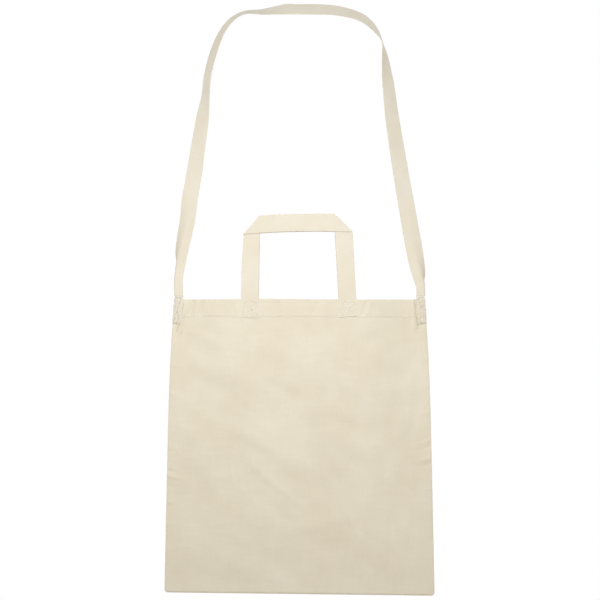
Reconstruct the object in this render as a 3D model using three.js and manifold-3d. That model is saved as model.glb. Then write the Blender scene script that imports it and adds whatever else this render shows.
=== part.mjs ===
// Cotton picking bag: a flat two-panel bag with a turned hem, two short grab handles, and one
// long shoulder strap whose ends are folded round the side seams and sewn.
// Millimetres, +Z up, the front faces -Y. The origin is on the underside of the shoulder strap's
// top, where the bag hangs. Fabric stacks keep a small gap between the layers.

import * as THREE from "three";
import { mergeVertices } from "three/addons/utils/BufferGeometryUtils.js";
import Module from "manifold-3d";

// Bag
const BAG_HEIGHT = 420;
const BOTTOM_HALF_WIDTH = 192.7;
const SIDE_TAPER = 9; // how far each side leans in between the bottom and the mouth
const MOUTH_PINCH = 6.1; // how much further the strap draws each side in at the mouth
const PINCH_POWER = 6.5; // how close to the mouth that draw stays
const MOUTH_HALF_OPENING = 20;
const FLAT_HALF_WIDTH = 88; // flat middle of each panel, which carries the handle
const FABRIC = 0.6;
const GAP = 0.3; // between pieces that touch
const SEAM_WIDTH = 12;
const SEAM_THICKNESS = 2;

// Hem
const HEM_DEPTH = 25;
const HEM_THICKNESS = 1.2;
const HEM_CLEARANCE = 0.6; // from the bag's middle, where a hem ends beside the side seams
const HEM_STITCH_INSET = 2;

// Stitching
const THREAD_WIDTH = 0.8;
const THREAD_THICKNESS = 0.4;
const BOX_STITCH_INSET = 3; // from the strap's edges to the sewn box

// Grab handles
const HANDLE_WIDTH = 24;
const HANDLE_THICKNESS = 1.6;
const HANDLE_HEIGHT = 123; // above the mouth
const HANDLE_FOOT_SPREAD = 70.3; // from the middle to each foot's middle
const HANDLE_TOP_SPREAD = 66.9; // from the middle to each leg's middle at the top
const HANDLE_HINGE_RISE = 1.5; // from the mouth to the line on which a handle folds
const FOLD_BITE = 0.1; // how far the bar's cloth presses into the leg's at the corner folds

// Shoulder strap
const STRAP_WIDTH = 25;
const STRAP_THICKNESS = 1.6;
const STRAP_DROP = 412.8; // from the hanging point to the mouth
const STRAP_END_DEPTH = 33.6; // sewn length below the mouth
const STRAP_HINGE_RISE = 4.5; // from the mouth to the line on which the bag swings
const STRAP_TOP_SLOPE = 36.87; // degrees that the strap's face is tipped at the hanging point
const FOLDED = [179, 181]; // directions of a folded strap's two halves, 0 pointing outwards
const FLAT = 180; // between the directions of an unfolded strap's two halves

// Shoulder strap's route, from the left seam to the right one: the place of its middle line as
// shares of the mouth's half width and of the strap's height, then the directions in degrees of
// its back and front half across the route, 0 pointing out of the loop and 90 to the back.
const topDirection = 90 - STRAP_TOP_SLOPE;
const flatRoute = (across, up, direction) => [across, up, direction, direction + FLAT];
const STRAP_ROUTE = [
  [-0.999, 0.05, 178, 183],
  [-0.996, 0.08, 160, 184],
  [-0.985, 0.11, 110, 186],
  [-0.962, 0.16, 70, 192],
  [-0.928, 0.22, 52, 198],
  [-0.896, 0.28, 38, 205],
  flatRoute(-0.876, 0.343, 28),
  flatRoute(-0.838, 0.44, 31),
  flatRoute(-0.807, 0.531, 38),
  flatRoute(-0.775, 0.622, 45),
  flatRoute(-0.75, 0.698, 62),
  flatRoute(-0.733, 0.77, 65),
  flatRoute(-0.693, 0.842, 66),
  flatRoute(-0.631, 0.912, 70),
  flatRoute(-0.545, 0.963, 74),
  flatRoute(-0.435, 0.989, 77),
  flatRoute(-0.3, 0.991, 70),
  flatRoute(-0.11, 1, topDirection),
  flatRoute(-0.04, 1, topDirection),
  flatRoute(0.04, 1, topDirection),
  flatRoute(0.11, 1, topDirection),
  flatRoute(0.268, 0.997, 55),
  flatRoute(0.402, 0.986, 58),
  flatRoute(0.5, 0.97, 61),
  flatRoute(0.574, 0.945, 67),
  flatRoute(0.629, 0.915, 79),
  flatRoute(0.663, 0.884, 87),
  flatRoute(0.682, 0.837, 70),
  flatRoute(0.697, 0.779, 56),
  flatRoute(0.711, 0.731, 48),
  flatRoute(0.74, 0.625, 40),
  flatRoute(0.783, 0.505, 33),
  flatRoute(0.818, 0.412, 29),
  flatRoute(0.846, 0.343, 26),
  [0.88, 0.26, 24, 202],
  [0.909, 0.195, 28, 197],
  [0.942, 0.129, 42, 190],
  [0.973, 0.081, 70, 186],
  [0.989, 0.055, 112, 184],
  [0.996, 0.04, 165, 183],
];
const STEPS_PER_ROUTE_POINT = 2;

// Worked out from the above
const mouthHalfWidth = sideEdge(BAG_HEIGHT);
const panelBottom = SEAM_WIDTH + GAP;
const panelHeight = BAG_HEIGHT - panelBottom;
const closedHalfDepth = FABRIC / 2 + GAP; // half the depth between the panels where they meet
const lean = Math.atan((MOUTH_HALF_OPENING - closedHalfDepth) / panelHeight);
const leanLength = panelHeight / Math.cos(lean);
const spineHalf = SEAM_THICKNESS / 2 + GAP + STRAP_THICKNESS / 2;
const strapFold = GAP + STRAP_THICKNESS / 2; // from the seam's edge to the folded strap's middle
const handleFace = FABRIC / 2 + GAP; // from a panel's middle to the handle's near face
const handleEndDepth = HEM_DEPTH - THREAD_WIDTH / 2 - GAP;

const calico = { color: 0xe8e0d0, roughness: 0.95, metalness: 0 };
const strapCloth = { color: 0xe4dccb, roughness: 0.95, metalness: 0 };
const cottonThread = { color: 0xf0ebdf, roughness: 0.85, metalness: 0 };

const wasm = await Module();
wasm.setup();

function piece(name, geometry, look) {
  const mesh = new THREE.Mesh(geometry, new THREE.MeshStandardMaterial(look));
  mesh.name = name;
  return mesh;
}

// Half the bag's width, out to the seam's edge, at a height above its bottom.
function sideEdge(height) {
  const share = height / BAG_HEIGHT;
  return BOTTOM_HALF_WIDTH - SIDE_TAPER * share - MOUTH_PINCH * share ** PINCH_POWER;
}

// A box of cloth bent to shape. place gives the point at the shares across and along, 0 to 1,
// and at the share through the thickness, -0.5 to 0.5.
function bentCloth(across, along, place) {
  const box = new THREE.BoxGeometry(1, 1, 1, across, along, 1);
  const back = box.groups[5];
  const index = box.index;
  // The back face's quads are split the way the front's are, so a twisted strip keeps its wall.
  for (let at = back.start; at < back.start + back.count; at += 6) {
    const [a, b, c, d] = [index.getX(at), index.getX(at + 1), index.getX(at + 4), index.getX(at + 2)];
    [a, b, c, a, c, d].forEach((corner, i) => index.setX(at + i, corner));
  }
  const points = box.attributes.position;
  const point = new THREE.Vector3();
  for (let i = 0; i < points.count; i += 1) {
    point.fromBufferAttribute(points, i);
    const moved = place(point.x + 0.5, point.y + 0.5, point.z);
    points.setXYZ(i, moved.x, moved.y, moved.z);
  }
  box.deleteAttribute("normal");
  box.deleteAttribute("uv");
  const cloth = mergeVertices(box);
  cloth.computeVertexNormals();
  return cloth;
}

// A flat outline in X and Z, its thickness running forwards from the plane at y.
function flatCloth(shape, thickness, y) {
  const cloth = new THREE.ExtrudeGeometry(shape, { depth: thickness, bevelEnabled: false });
  cloth.rotateX(Math.PI / 2);
  cloth.translate(0, y, 0);
  return cloth;
}

function outline(...corners) {
  return new THREE.Shape(corners.map(([x, z]) => new THREE.Vector2(x, z)));
}

// Sewn box with a cross in it, one flat loop of thread rows, centred on the origin.
function boxStitching(width, height) {
  const x = width / 2;
  const z = height / 2;
  const row = THREAD_WIDTH;
  const frame = outline([-x, -z], [x, -z], [x, z], [-x, z]);
  const innerX = x - row;
  const innerZ = z - row;
  const diagonal = Math.hypot(innerX, innerZ);
  const cutX = (row / 2) * (diagonal / innerZ); // half a cross row, measured along X
  const cutZ = (row / 2) * (diagonal / innerX);
  for (const side of [-1, 1]) {
    const beside = [[side * innerX, cutZ - innerZ], [side * innerX, innerZ - cutZ], [side * cutX, 0]];
    const above = [[innerX - cutX, side * innerZ], [cutX - innerX, side * innerZ], [0, side * cutZ]];
    frame.holes.push(outline(...beside), outline(...above));
  }
  return flatCloth(frame, THREAD_THICKNESS, 0);
}

function toSolid(geometry) {
  const plain = geometry.clone();
  plain.deleteAttribute("normal");
  plain.deleteAttribute("uv");
  const merged = mergeVertices(plain);
  return new wasm.Manifold(
    new wasm.Mesh({
      numProp: 3,
      vertProperties: merged.attributes.position.array,
      triVerts: new Uint32Array(merged.index.array),
    }),
  );
}

function fromSolid(solid) {
  const mesh = solid.getMesh();
  const geometry = new THREE.BufferGeometry();
  geometry.setAttribute("position", new THREE.BufferAttribute(mesh.vertProperties, 3));
  geometry.setIndex(new THREE.BufferAttribute(mesh.triVerts, 1));
  geometry.computeVertexNormals();
  return geometry;
}

// ---- Panels, hems and handles: one set faces the front, and its twin is turned to the back.

function panelHalfWidth(height) {
  return sideEdge(height) - SEAM_WIDTH - GAP;
}

// Half the bag's depth between the panels' middles: closed at the bottom and at the side seams.
function halfDepth(x, height) {
  const half = panelHalfWidth(height);
  const share = THREE.MathUtils.smoothstep(half - Math.abs(x), 0, half - FLAT_HALF_WIDTH);
  const open = (MOUTH_HALF_OPENING - closedHalfDepth) * (height - panelBottom) / panelHeight;
  return closedHalfDepth + open * share;
}

// Cloth that lies along a panel between two heights, its middle standing out from the panel's.
function alongPanel(low, high, inset, out, thickness, rows) {
  const columns = 24;
  return bentCloth(columns, rows, (across, up, through) => {
    const height = low + (high - low) * up;
    const x = (across - 0.5) * 2 * (panelHalfWidth(height) - inset);
    return new THREE.Vector3(x, -halfDepth(x, height) - out - through * thickness, height);
  });
}

// How far a hem ends inside its panel's side edges, which leaves room for the other panel's hem.
function hemInset(height) {
  const edge = panelHalfWidth(height);
  const room = FABRIC / 2 + GAP + HEM_THICKNESS + HEM_CLEARANCE;
  let inset = 0;
  while (halfDepth(edge - inset, height) < room) inset += HEM_CLEARANCE;
  return inset;
}

function handle() {
  const hinge = leanLength + HANDLE_HINGE_RISE;
  const foot = hinge + HANDLE_HINGE_RISE;
  const top = leanLength + HANDLE_HEIGHT;
  const barBottom = top - HANDLE_WIDTH;
  const half = HANDLE_WIDTH / 2;
  const outer = HANDLE_TOP_SPREAD + half;
  const inner = HANDLE_TOP_SPREAD - half;
  let solid = toSolid(
    flatCloth(
      outline([-outer, barBottom], [outer, barBottom], [inner, top], [-inner, top]),
      HANDLE_THICKNESS + FOLD_BITE,
      FOLD_BITE - handleFace - HANDLE_THICKNESS,
    ),
  );
  for (const side of [-1, 1]) {
    const corners = [
      [side * (HANDLE_FOOT_SPREAD - half), foot],
      [side * (HANDLE_FOOT_SPREAD + half), foot],
      [side * outer, barBottom],
      [side * inner, top],
    ];
    solid = solid.add(toSolid(flatCloth(outline(...corners), HANDLE_THICKNESS, -handleFace)));
  }
  return fromSolid(solid);
}

function handleEnd() {
  const end = new THREE.BoxGeometry(HANDLE_WIDTH, HANDLE_THICKNESS, handleEndDepth);
  end.translate(0, -handleFace - HANDLE_THICKNESS / 2, leanLength - handleEndDepth / 2);
  return end;
}

function handleEndStitching() {
  const width = HANDLE_WIDTH - 2 * BOX_STITCH_INSET;
  const stitching = boxStitching(width, handleEndDepth - 2 * BOX_STITCH_INSET);
  const y = -handleFace - HANDLE_THICKNESS - GAP;
  stitching.translate(0, y, leanLength - handleEndDepth / 2);
  return stitching;
}

function bagSide(label, turn) {
  const side = new THREE.Group();
  side.rotation.z = turn;
  const stitchHeight = BAG_HEIGHT - HEM_DEPTH;
  const hemOut = -(FABRIC / 2 + GAP + HEM_THICKNESS / 2);
  const stitchOut = FABRIC / 2 + GAP + THREAD_THICKNESS / 2;
  const panel = alongPanel(panelBottom, BAG_HEIGHT, 0, 0, FABRIC, 14);
  const hem = alongPanel(stitchHeight, BAG_HEIGHT, hemInset(stitchHeight), hemOut, HEM_THICKNESS, 1);
  const hemStitching = alongPanel(
    stitchHeight - THREAD_WIDTH / 2,
    stitchHeight + THREAD_WIDTH / 2,
    HEM_STITCH_INSET,
    stitchOut,
    THREAD_THICKNESS,
    1,
  );
  side.add(
    piece(`${label}_panel`, panel, calico),
    piece(`${label}_hem`, hem, calico),
    piece(`${label}_hem_stitching`, hemStitching, cottonThread),
  );

  // The handle lies in the plane of the panel's flat middle, which leans out from the bottom.
  const leaning = new THREE.Group();
  leaning.position.set(0, -closedHalfDepth, panelBottom);
  leaning.rotation.x = lean;
  leaning.add(piece(`${label}_handle`, handle(), strapCloth));
  for (const [name, sign] of [["left", -1], ["right", 1]]) {
    const end = piece(`${label}_handle_${name}_end`, handleEnd(), strapCloth);
    const sewing = piece(`${label}_handle_${name}_stitching`, handleEndStitching(), cottonThread);
    const x = sign * Math.cos(turn) * HANDLE_FOOT_SPREAD;
    end.position.x = x;
    sewing.position.x = x;
    leaning.add(end, sewing);
  }
  side.add(leaning);
  return side;
}

// ---- Seams

function sideSeam(sign) {
  return bentCloth(1, 14, (across, up, through) => {
    const height = BAG_HEIGHT * up;
    const inwards = sign > 0 ? 1 - across : across;
    const x = sign * (sideEdge(height) - SEAM_WIDTH * inwards);
    return new THREE.Vector3(x, -through * SEAM_THICKNESS, height);
  });
}

function bottomSeam() {
  return bentCloth(12, 1, (across, up, through) => {
    const height = SEAM_WIDTH * up;
    const x = (across - 0.5) * 2 * panelHalfWidth(height);
    return new THREE.Vector3(x, -through * SEAM_THICKNESS, height);
  });
}

// ---- Shoulder strap

// A strap that can fold lengthwise along its middle. The route runs from left to right, and
// directions holds, at the same shares of the route, the angles of the back and front half.
function strap(route, directions, steps) {
  const half = STRAP_WIDTH / 2;
  const columns = [-half, -(half + spineHalf) / 2, -spineHalf, spineHalf, (half + spineHalf) / 2, half];
  const turned = (v) => new THREE.Vector2(-v.y, v.x);
  const direction = (degrees) => {
    const angle = THREE.MathUtils.degToRad(degrees);
    return new THREE.Vector2(Math.cos(angle), Math.sin(angle));
  };
  return bentCloth(columns.length - 1, steps, (across, along, through) => {
    const width = columns[Math.round(across * (columns.length - 1))];
    const middle = route.getPoint(along);
    const tangent = route.getTangent(along);
    const outwards = new THREE.Vector3(-tangent.z, 0, tangent.x);
    const angles = directions.getPoint(along);
    const back = direction(angles.x);
    const front = direction(angles.y).negate();
    const spine = back.clone().add(front).normalize();
    const leg = width > 0 ? back : front;
    const beyond = Math.sign(width) * Math.max(0, Math.abs(width) - spineHalf);
    const place = spine.clone().multiplyScalar(Math.sign(width) * spineHalf);
    place.addScaledVector(leg, beyond);
    let normal = turned(leg);
    if (beyond === 0) {
      const mitre = turned(leg).add(turned(spine)).normalize();
      normal = mitre.divideScalar(mitre.dot(turned(spine)));
    }
    place.addScaledVector(normal, through * STRAP_THICKNESS);
    return middle.addScaledVector(outwards, place.x).add(new THREE.Vector3(0, place.y, 0));
  });
}

function shoulderStrap() {
  const topLift = STRAP_THICKNESS / 2 / Math.cos(THREE.MathUtils.degToRad(STRAP_TOP_SLOPE));
  const rise = STRAP_DROP + topLift;
  const halfSpan = mouthHalfWidth + strapFold;
  const startUp = (2 * STRAP_HINGE_RISE) / rise;
  const stops = [[-1, startUp, ...FOLDED], ...STRAP_ROUTE, [1, startUp, ...FOLDED]];
  const route = stops.map(([across, up]) => new THREE.Vector3(across * halfSpan, 0, up * rise - STRAP_DROP));
  const directions = stops.map(([, , back, front]) => new THREE.Vector3(back, front, 0));
  return strap(
    new THREE.CatmullRomCurve3(route),
    new THREE.CatmullRomCurve3(directions, false, "catmullrom", 0.5),
    (stops.length - 1) * STEPS_PER_ROUTE_POINT,
  );
}

function strapEnd(sign) {
  const heights = [BAG_HEIGHT - STRAP_END_DEPTH, BAG_HEIGHT - STRAP_END_DEPTH / 2, BAG_HEIGHT];
  const edge = heights.map((h) => new THREE.Vector3(sign * (sideEdge(h) + strapFold), 0, h));
  if (sign > 0) edge.reverse();
  const folded = new THREE.Vector3(...FOLDED, 0);
  return strap(
    new THREE.CatmullRomCurve3(edge),
    new THREE.CatmullRomCurve3([folded, folded.clone()], false, "catmullrom", 0.5),
    4,
  );
}

function strapEndStitching(sign, facing) {
  const visible = STRAP_WIDTH / 2 + STRAP_THICKNESS / 2;
  const width = visible - 1.5 * BOX_STITCH_INSET;
  const low = BAG_HEIGHT - STRAP_END_DEPTH;
  const middle = BAG_HEIGHT - STRAP_END_DEPTH / 2;
  const splay = Math.sin(THREE.MathUtils.degToRad(FOLDED[1] - 180)) * STRAP_WIDTH / 2;
  const face = spineHalf + STRAP_THICKNESS / 2 + splay + GAP;
  const stitching = boxStitching(width, STRAP_END_DEPTH - 2 * BOX_STITCH_INSET);
  stitching.translate(0, -face, 0);
  if (facing > 0) stitching.rotateZ(Math.PI);
  stitching.rotateY(-sign * Math.atan((sideEdge(low) - sideEdge(BAG_HEIGHT)) / STRAP_END_DEPTH));
  const fromEdge = visible / 2;
  stitching.translate(sign * (sideEdge(middle) + strapFold + STRAP_THICKNESS / 2 - fromEdge), 0, middle);
  return stitching;
}

// ---- The whole bag

const bag = new THREE.Group();
bag.position.z = -STRAP_DROP - BAG_HEIGHT;
bag.add(bagSide("front", 0), bagSide("back", Math.PI), piece("bottom_seam", bottomSeam(), calico));
for (const [name, sign] of [["left", -1], ["right", 1]]) {
  bag.add(
    piece(`${name}_side_seam`, sideSeam(sign), calico),
    piece(`${name}_strap_end`, strapEnd(sign), strapCloth),
    piece(`${name}_strap_front_stitching`, strapEndStitching(sign, -1), cottonThread),
    piece(`${name}_strap_back_stitching`, strapEndStitching(sign, 1), cottonThread),
  );
}

const pickingBag = new THREE.Group();
pickingBag.add(piece("shoulder_strap", shoulderStrap(), strapCloth), bag);

export default pickingBag;
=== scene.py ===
"""Cotton picking bag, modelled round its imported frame. Metres, +Z up, the front faces -Y."""

import math

import bmesh
import bpy
import numpy as np
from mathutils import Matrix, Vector


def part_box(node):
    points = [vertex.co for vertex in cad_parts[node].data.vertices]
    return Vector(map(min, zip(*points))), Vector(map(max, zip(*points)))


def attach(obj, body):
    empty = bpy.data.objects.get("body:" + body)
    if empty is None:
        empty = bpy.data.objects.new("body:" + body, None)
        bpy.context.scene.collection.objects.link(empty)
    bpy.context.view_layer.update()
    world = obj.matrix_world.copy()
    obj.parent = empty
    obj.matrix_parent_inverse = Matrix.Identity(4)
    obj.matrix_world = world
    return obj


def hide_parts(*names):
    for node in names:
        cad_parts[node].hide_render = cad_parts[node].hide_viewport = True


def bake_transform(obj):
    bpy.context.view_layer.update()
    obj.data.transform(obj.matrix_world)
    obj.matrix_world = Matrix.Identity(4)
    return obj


bl_info = {
    "name": "Cotton picking bag",
    "version": (1, 0, 0),
    "blender": (4, 5, 0),
    "location": "3D View > Sidebar > Picking bag",
    "description": "Models a calico picking bag with grab handles and a shoulder strap",
    "category": "Add Mesh",
}

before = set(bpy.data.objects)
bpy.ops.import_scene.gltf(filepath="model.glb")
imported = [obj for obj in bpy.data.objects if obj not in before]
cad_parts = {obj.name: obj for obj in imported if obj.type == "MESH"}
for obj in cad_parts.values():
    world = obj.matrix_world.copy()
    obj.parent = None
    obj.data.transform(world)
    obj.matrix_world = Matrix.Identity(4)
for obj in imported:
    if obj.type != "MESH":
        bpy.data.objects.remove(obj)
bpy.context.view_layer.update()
MM = 0.001

# Places taken from the frame
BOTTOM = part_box("left_side_seam")[0][2]
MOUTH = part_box("left_side_seam")[1][2]
BAG_HEIGHT = MOUTH - BOTTOM
BOTTOM_HALF_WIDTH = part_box("right_side_seam")[1][0]
FOOT_SPREAD = sum(corner[0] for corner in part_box("front_handle_right_end")) / 2
HANDLE_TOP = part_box("front_handle")[1][2]
STRAP_END_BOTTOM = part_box("right_strap_end")[0][2]

# How the bag is cut and hangs
SIDE_TAPER = 9 * MM
MOUTH_PINCH = 6.1 * MM
PINCH_POWER = 6.5
MOUTH_HALF_OPENING = 19.4 * MM
FLAT_HALF_WIDTH = 88 * MM
SEAM_WIDTH = 12.3 * MM
EDGE_ROUND = 0.8 * MM
CORNER_ROUND = 5 * MM
PANEL_FOOT = 0.6 * MM
LEAN = math.atan(MOUTH_HALF_OPENING / (BAG_HEIGHT - SEAM_WIDTH))
LEAN_LENGTH = (BAG_HEIGHT - SEAM_WIDTH) / math.cos(LEAN)
HEM_DEPTH = 25 * MM
HEM_STEP = 0.42 * MM  # how far the hem stands out in front of the single cloth below it
HEM_GAP = 1.25 * MM  # from the hem's outer layer to its turned one
LEAST_DEPTH = 0.35 * MM  # keeps the front's turned hem clear of the back's

# How the straps are sewn on
STRAP_END_OUT = 0.4 * MM  # the folded end's spine, past the side edge
RIGHT_END_FLARE = 0.9 * MM  # the right end stands out a little more at the mouth
STRAP_FOLD_RADIUS = 1.75 * MM
STRAP_OPEN_TURN = 8 * MM  # width of the turn between the halves of the opened strap
STRAP_FACE = 1.6 * MM  # how far a strap end's cloth stands off the seam, in front and at the side
STRAP_BOX_SIDES = (2.6 * MM, 10.2 * MM)  # the sewn box, from the fold inwards
STRAP_BOX_INSET = 2.5 * MM
STRAP_BOX_RISE = 3.5 * MM  # how far the sewn box reaches above the mouth
HANDLE_OFF_PANEL = 0.9 * MM
HANDLE_BOX_INSET = 2.6 * MM

# Shoulder strap's route from the left seam to the right one, within 1.5 mm of the frame's: shares
# of the mouth's half width and of the strap's height, then the directions in degrees of its back
# half and its front half.
STRAP_HALF_SPAN = BOTTOM_HALF_WIDTH - SIDE_TAPER - MOUTH_PINCH + 1.1 * MM
STRAP_RISE = 1.0 * MM - MOUTH
TOP = 53  # the flat crown's direction
STRAP_ROUTE = [
    (-0.999, 0.05, 178, 183), (-0.996, 0.08, 160, 184), (-0.985, 0.11, 110, 186),
    (-0.962, 0.16, 70, 192), (-0.928, 0.22, 52, 198), (-0.896, 0.28, 38, 205),
    (-0.876, 0.343, 28, 208), (-0.838, 0.44, 31, 211), (-0.807, 0.531, 38, 218),
    (-0.775, 0.622, 45, 225), (-0.75, 0.698, 62, 242), (-0.733, 0.77, 65, 245),
    (-0.693, 0.842, 66, 246), (-0.631, 0.912, 70, 250), (-0.545, 0.963, 74, 254),
    (-0.435, 0.989, 77, 257), (-0.3, 0.991, 70, 250), (-0.11, 1, TOP, TOP + 180),
    (-0.04, 1, TOP, TOP + 180), (0.04, 1, TOP, TOP + 180), (0.11, 1, TOP, TOP + 180),
    (0.268, 0.997, 55, 235), (0.402, 0.986, 58, 238), (0.5, 0.97, 61, 241),
    (0.574, 0.945, 67, 247), (0.629, 0.915, 79, 259), (0.663, 0.884, 87, 267),
    (0.682, 0.837, 70, 250), (0.697, 0.779, 56, 236), (0.711, 0.731, 48, 228),
    (0.74, 0.625, 40, 220), (0.783, 0.505, 33, 213), (0.818, 0.412, 29, 209),
    (0.846, 0.343, 26, 206), (0.88, 0.26, 24, 202), (0.909, 0.195, 28, 197),
    (0.942, 0.129, 42, 190), (0.975, 0.081, 70, 186), (0.996, 0.055, 112, 184),
    (1.0, 0.04, 165, 183),
]


# ---- Meshes ------------------------------------------------------------------------------------

def smooth(value):
    """Eases a share between 0 and 1."""
    value = np.clip(value, 0, 1)
    return value * value * (3 - 2 * value)


def new_object(name, mesh, material):
    """A smooth-shaded piece in the scene."""
    piece = bpy.data.objects.new(name, mesh)
    bpy.context.scene.collection.objects.link(piece)
    mesh.materials.append(material)
    mesh.polygons.foreach_set("use_smooth", np.ones(len(mesh.polygons), bool))
    return piece


def face_outwards(mesh):
    """Turns every face of a closed mesh outwards."""
    work = bmesh.new()
    work.from_mesh(mesh)
    bmesh.ops.recalc_face_normals(work, faces=work.faces)
    work.to_mesh(mesh)
    work.free()


def cloth_mesh(name, points, flat, closed=False):
    """A mesh over a grid of points, its UV map holding each point's place on the flat cloth."""
    rows, columns = points.shape[:2]
    index = np.arange(rows * columns).reshape(rows, columns)
    if closed:
        index = np.hstack([index, index[:, :1]])
    a, b = index[:-1, :-1], index[:-1, 1:]
    c, d = index[1:, 1:], index[1:, :-1]
    quads = np.stack([a, b, c, d], axis=-1).reshape(-1, 4)
    faces = quads.tolist()
    if closed:
        faces += [index[0, :-1].tolist(), index[-1, :-1][::-1].tolist()]
    mesh = bpy.data.meshes.new(name)
    mesh.from_pydata(points.reshape(-1, 3).tolist(), [], faces)
    layer = mesh.uv_layers.new(name="Cloth")
    lie = flat if not closed else np.concatenate([flat, flat[:, :1]], axis=1)
    corners = np.stack([lie[:-1, :-1], lie[:-1, 1:], lie[1:, 1:], lie[1:, :-1]], axis=2).reshape(-1, 2)
    if closed:
        corners = np.vstack([corners, flat[0], flat[-1][::-1]])
    layer.data.foreach_set("uv", corners.astype(np.float32).ravel())
    return mesh


def along(grid, axis):
    """Unit directions along one axis of a grid of points."""
    step = np.gradient(grid, axis=axis)
    return step / np.maximum(np.linalg.norm(step, axis=-1, keepdims=True), 1e-12)


def strap_mesh(name, middle, flat, thickness):
    """A strap with rounded edges and closed ends round a grid of points on its middle layer."""
    across = along(middle, 1)
    normal = np.cross(across, along(middle, 0))
    normal /= np.linalg.norm(normal, axis=-1, keepdims=True)
    half = thickness / 2
    turns = np.radians([35, 90, 145])

    def edge(column, outwards):
        """Points round one rounded edge."""
        point = middle[:, column][:, None]
        out = (across[:, column] * outwards)[:, None]
        up = normal[:, column][:, None]
        s, c = np.sin(turns)[None, :, None], np.cos(turns)[None, :, None]
        return point + half * (up * c + out * s)

    front = middle + half * normal
    back = (middle - half * normal)[:, ::-1]
    loop = [front, edge(-1, 1), back, edge(0, -1)[:, ::-1]]
    columns = len(turns)
    last = np.repeat(flat[:, -1:], columns, axis=1)
    first = np.repeat(flat[:, :1], columns, axis=1)
    places = np.concatenate([flat, last, flat[:, ::-1], first], axis=1)
    mesh = cloth_mesh(name, np.concatenate(loop, axis=1), places, closed=True)
    face_outwards(mesh)
    return mesh


def stitches(name, places, tangents, normals, material, length, width):
    """One stitch modelled once and set along a seam: a short bowed thread that dips in at each end."""
    sides, rings = 8, 7
    lengthwise = np.linspace(-0.5, 0.5, rings)
    fatness = np.sqrt(np.clip(1 - (2 * lengthwise) ** 4, 0.08, 1))
    lift = 1 - (2 * lengthwise) ** 2
    turn = np.linspace(0, 2 * math.pi, sides, endpoint=False)
    t = np.repeat(lengthwise * length, sides)
    r = np.repeat(fatness, sides) * width / 2
    n = r * np.tile(np.sin(turn), rings) + np.repeat(lift, sides) * width * 0.45
    b = r * np.tile(np.cos(turn), rings) * 1.1
    tangents, normals = np.asarray(tangents), np.asarray(normals)
    sideways = np.cross(tangents, normals)
    points = (
        np.asarray(places)[:, None]
        + tangents[:, None] * t[None, :, None]
        + normals[:, None] * n[None, :, None]
        + sideways[:, None] * b[None, :, None]
    )
    ring = np.arange(sides)
    one = []
    for k in range(rings - 1):
        low, high = k * sides + ring, (k + 1) * sides + ring
        one += np.stack([low, np.roll(low, -1), np.roll(high, -1), high], axis=-1).tolist()
    one += [ring[::-1].tolist(), (ring + (rings - 1) * sides).tolist()]
    size = rings * sides
    faces = [[v + k * size for v in face] for k in range(len(points)) for face in one]
    mesh = bpy.data.meshes.new(name)
    mesh.from_pydata(points.reshape(-1, 3).tolist(), [], faces)
    face_outwards(mesh)
    return new_object(name, mesh, material)


def row_of_stitches(line, pitch):
    """Middles and directions of the stitches along a line of points."""
    line = np.asarray(line)
    steps = np.linalg.norm(np.diff(line, axis=0), axis=1)
    travelled = np.concatenate([[0], np.cumsum(steps)])
    count = max(1, round(travelled[-1] / pitch))
    at = (np.arange(count) + 0.5) * travelled[-1] / count

    def place(where):
        return np.stack([np.interp(where, travelled, line[:, k]) for k in range(3)], axis=-1)

    direction = place(at + pitch * 0.4) - place(at - pitch * 0.4)
    return place(at), direction / np.linalg.norm(direction, axis=1, keepdims=True)


def sewn_box(corners, pitch):
    """Middles and directions of the stitches round a box and along its two diagonals."""
    rows = list(zip(corners, corners[1:] + corners[:1]))
    rows += [(corners[0], corners[2]), (corners[1], corners[3])]
    sewn = [row_of_stitches(np.linspace(start, end, 20), pitch) for start, end in rows]
    places, ways = zip(*sewn)
    return np.concatenate(places), np.concatenate(ways)


# ---- Shape of the hanging bag ------------------------------------------------------------------

def side_edge(height):
    """Half the bag's width at a height above its bottom, with rounded bottom corners."""
    share = np.clip(height / BAG_HEIGHT, 0, 1)
    width = BOTTOM_HALF_WIDTH - SIDE_TAPER * share - MOUTH_PINCH * share ** PINCH_POWER
    into = np.clip(CORNER_ROUND - height, 0, CORNER_ROUND)
    return width - (CORNER_ROUND - np.sqrt(CORNER_ROUND ** 2 - into ** 2))


def waves(x, z, seed, longest, shortest, count):
    """Soft unevenness from a few crossing waves, about -1 to 1."""
    draw = np.random.default_rng(seed)
    total = np.zeros_like(x)
    for _ in range(count):
        length = draw.uniform(shortest, longest)
        angle = draw.uniform(0, math.pi)
        phase = draw.uniform(0, 2 * math.pi)
        total += np.sin(2 * math.pi / length * (x * math.cos(angle) + z * math.sin(angle)) + phase)
    return total / math.sqrt(count)


def crease(x, z, start, end, width, fade):
    """A soft line from start to end, 1 along its middle, with ends that fade out."""
    start, end = np.array(start), np.array(end)
    length = np.linalg.norm(end - start)
    way = (end - start) / length
    run = (x - start[0]) * way[0] + (z - start[1]) * way[1]
    off = (x - start[0]) * -way[1] + (z - start[1]) * way[0]
    ends = smooth((run + fade) / fade) * smooth((length - run + fade) / fade)
    return np.exp(-(off / width) ** 2) * ends


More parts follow.
